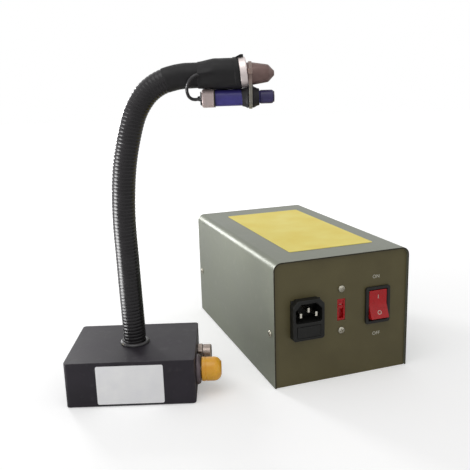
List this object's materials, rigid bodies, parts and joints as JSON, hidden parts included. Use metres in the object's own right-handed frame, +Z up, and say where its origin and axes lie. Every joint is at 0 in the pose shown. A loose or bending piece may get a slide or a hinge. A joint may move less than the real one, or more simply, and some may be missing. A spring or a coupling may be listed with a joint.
{
  "type": "ionizing air snake",
  "caption": "Bendable ribbed neck with an ionizing air nozzle and photo sensor on a steel base, beside its mains power unit.",
  "frame": {"origin": "middle of the base's underside, where it rests on the bench", "axes": "+Z up, the front with the label faces -Y, +X to the right towards the air fittings and the power unit"},
  "size_m": [0.2911, 0.2661, 0.2734],
  "materials": {
    "base_black": "satin",
    "steel_plate": "satin",
    "screw_steel": "satin",
    "ballast_iron": "matte",
    "neck_black": "satin",
    "collar_black": "satin",
    "nut_steel": "satin",
    "fitting_nickel": "satin",
    "valve_brass": "satin",
    "flange_grey": "satin",
    "knob_yellow": "satin",
    "socket_black": "satin",
    "label_white": "satin",
    "valve_alloy": "satin",
    "board_green": "satin",
    "tube_blue": "satin",
    "lead_red": "satin",
    "lead_black": "satin",
    "boot_black": "matte",
    "ring_silver": "satin",
    "nozzle_brown": "satin",
    "holder_white": "matte",
    "needle_steel": "polished",
    "sensor_blue": "satin",
    "sensor_navy": "satin",
    "cap_clear": "gloss",
    "lens_dark": "gloss",
    "saddle_black": "matte",
    "tie_natural": "satin",
    "case_olive": "satin",
    "panel_olive": "satin",
    "inlet_black": "satin",
    "pin_nickel": "satin",
    "fuse_glass": "gloss",
    "switch_red": "gloss",
    "switch_black": "satin",
    "label_yellow": "satin",
    "core_steel": "matte",
    "coil_copper": "satin"
  },
  "bodies": {
    "base": {"base_housing": "base_black", "base_plate": "steel_plate", "base_plate_screws": "screw_steel", "ballast_weight": "ballast_iron", "neck_collar": "collar_black", "panel_nuts": "nut_steel", "gooseneck_foot": "neck_black", "air_inlet": "fitting_nickel", "air_inlet_nut": "fitting_nickel", "flow_valve": "valve_brass", "valve_flange": "flange_grey", "cable_socket": "socket_black", "rating_label": "label_white", "solenoid_valve": "valve_alloy", "control_board": "board_green", "supply_tubes": "tube_blue", "air_tube": "tube_blue", "high_voltage_lead": "lead_red", "signal_lead": "lead_black"},
    "link_1": {"gooseneck_link_1": "neck_black"},
    "link_2": {"gooseneck_link_2": "neck_black"},
    "link_3": {"gooseneck_link_3": "neck_black"},
    "link_4": {"gooseneck_link_4": "neck_black"},
    "link_5": {"gooseneck_link_5": "neck_black"},
    "link_6": {"gooseneck_link_6": "neck_black"},
    "link_7": {"gooseneck_link_7": "neck_black"},
    "link_8": {"gooseneck_link_8": "neck_black"},
    "link_9": {"gooseneck_link_9": "neck_black"},
    "head": {"gooseneck_end": "neck_black", "head_boot": "boot_black", "nozzle_collar": "ring_silver", "nozzle": "nozzle_brown", "needle_holder": "holder_white", "emitter_needle": "needle_steel", "sensor_barrel": "sensor_blue", "sensor_rear_cap": "cap_clear", "sensor_nose": "sensor_navy", "sensor_lens": "lens_dark", "sensor_saddle": "saddle_black", "cable_tie": "tie_natural", "sensor_lead": "lead_black"},
    "flow_knob": {"flow_knob": "knob_yellow", "valve_stem": "screw_steel"},
    "power_unit": {"unit_cover": "case_olive", "unit_chassis": "case_olive", "unit_front_panel": "panel_olive", "cover_screws": "screw_steel", "mains_inlet": "inlet_black", "inlet_pins": "pin_nickel", "voltage_selector": "switch_red", "selector_screws": "screw_steel", "switch_housing": "switch_black", "top_label": "label_yellow", "transformer_core": "core_steel", "transformer_coil": "coil_copper", "output_socket": "socket_black"},
    "fuse_drawer": {"fuse_drawer": "inlet_black", "fuse": "fuse_glass"},
    "selector_slider": {"selector_slider": "switch_red"},
    "switch_rocker": {"switch_rocker": "switch_red"}
  },
  "joints": [
    {"name": "neck_bend_1", "type": "hinge", "parent": "base", "child": "link_1", "pos_m": [0, 0, 0.053], "axis": [0, 1, 0], "range_deg": [-20, 20], "deforming": ["air_tube", "high_voltage_lead", "signal_lead"]},
    {"name": "neck_bend_2", "type": "hinge", "parent": "link_1", "child": "link_2", "pos_m": [-0.00084, 0, 0.08499], "axis": [0.9998, 0, 0.0218], "range_deg": [-20, 20], "deforming": ["air_tube", "high_voltage_lead", "signal_lead"]},
    {"name": "neck_bend_3", "type": "hinge", "parent": "link_2", "child": "link_3", "pos_m": [-0.0014, 0, 0.11698], "axis": [0, 1, 0], "range_deg": [-20, 20], "deforming": ["air_tube", "high_voltage_lead", "signal_lead"]},
    {"name": "neck_bend_4", "type": "hinge", "parent": "link_3", "child": "link_4", "pos_m": [-0.00223, 0, 0.14897], "axis": [0.9997, 0, -0.0262], "range_deg": [-20, 20], "deforming": ["air_tube", "high_voltage_lead", "signal_lead"]},
    {"name": "neck_bend_5", "type": "hinge", "parent": "link_4", "child": "link_5", "pos_m": [0.00098, 0, 0.18985], "axis": [0, 1, 0], "range_deg": [-20, 20], "deforming": ["air_tube", "high_voltage_lead", "signal_lead"]},
    {"name": "neck_bend_6", "type": "hinge", "parent": "link_5", "child": "link_6", "pos_m": [0.00969, 0, 0.22478], "axis": [0.9397, 0, -0.342], "range_deg": [-20, 20], "deforming": ["air_tube", "high_voltage_lead", "signal_lead"]},
    {"name": "neck_bend_7", "type": "hinge", "parent": "link_6", "child": "link_7", "pos_m": [0.01627, 0, 0.23826], "axis": [0, 1, 0], "range_deg": [-20, 20], "deforming": ["air_tube", "high_voltage_lead", "signal_lead"]},
    {"name": "neck_bend_8", "type": "hinge", "parent": "link_7", "child": "link_8", "pos_m": [0.02527, 0, 0.24898], "axis": [0.6327, 0, -0.7744], "range_deg": [-20, 20], "deforming": ["air_tube", "high_voltage_lead", "signal_lead"]},
    {"name": "neck_bend_9", "type": "hinge", "parent": "link_8", "child": "link_9", "pos_m": [0.03757, 0, 0.25566], "axis": [0, 1, 0], "range_deg": [-20, 20], "deforming": ["air_tube", "high_voltage_lead", "signal_lead"]},
    {"name": "neck_bend_10", "type": "hinge", "parent": "link_9", "child": "head", "pos_m": [0.05129, 0, 0.25845], "axis": [0.1002, 0, -0.995], "range_deg": [-20, 20], "deforming": ["air_tube", "high_voltage_lead", "signal_lead"]},
    {"name": "flow_knob_turn", "type": "hinge", "parent": "base", "child": "flow_knob", "pos_m": [0.0525, -0.021, 0.021], "axis": [1, 0, 0], "range_deg": [-135, 135]},
    {"name": "power_unit_slide", "type": "slide", "parent": "base", "child": "power_unit", "axis": [1, 0, 0], "range_m": [0, 0.15]},
    {"name": "fuse_drawer_slide", "type": "slide", "parent": "power_unit", "child": "fuse_drawer", "axis": [0.3123, -0.95, 0], "range_m": [0, 0.022]},
    {"name": "voltage_select", "type": "slide", "parent": "power_unit", "child": "selector_slider", "axis": [0, 0, -1], "range_m": [0, 0.008]},
    {"name": "power_rocker", "type": "hinge", "parent": "power_unit", "child": "switch_rocker", "pos_m": [0.20921, 0.01115, 0.0615], "axis": [0.95, 0.3123, 0], "range_deg": [0, 22]}
  ]
}
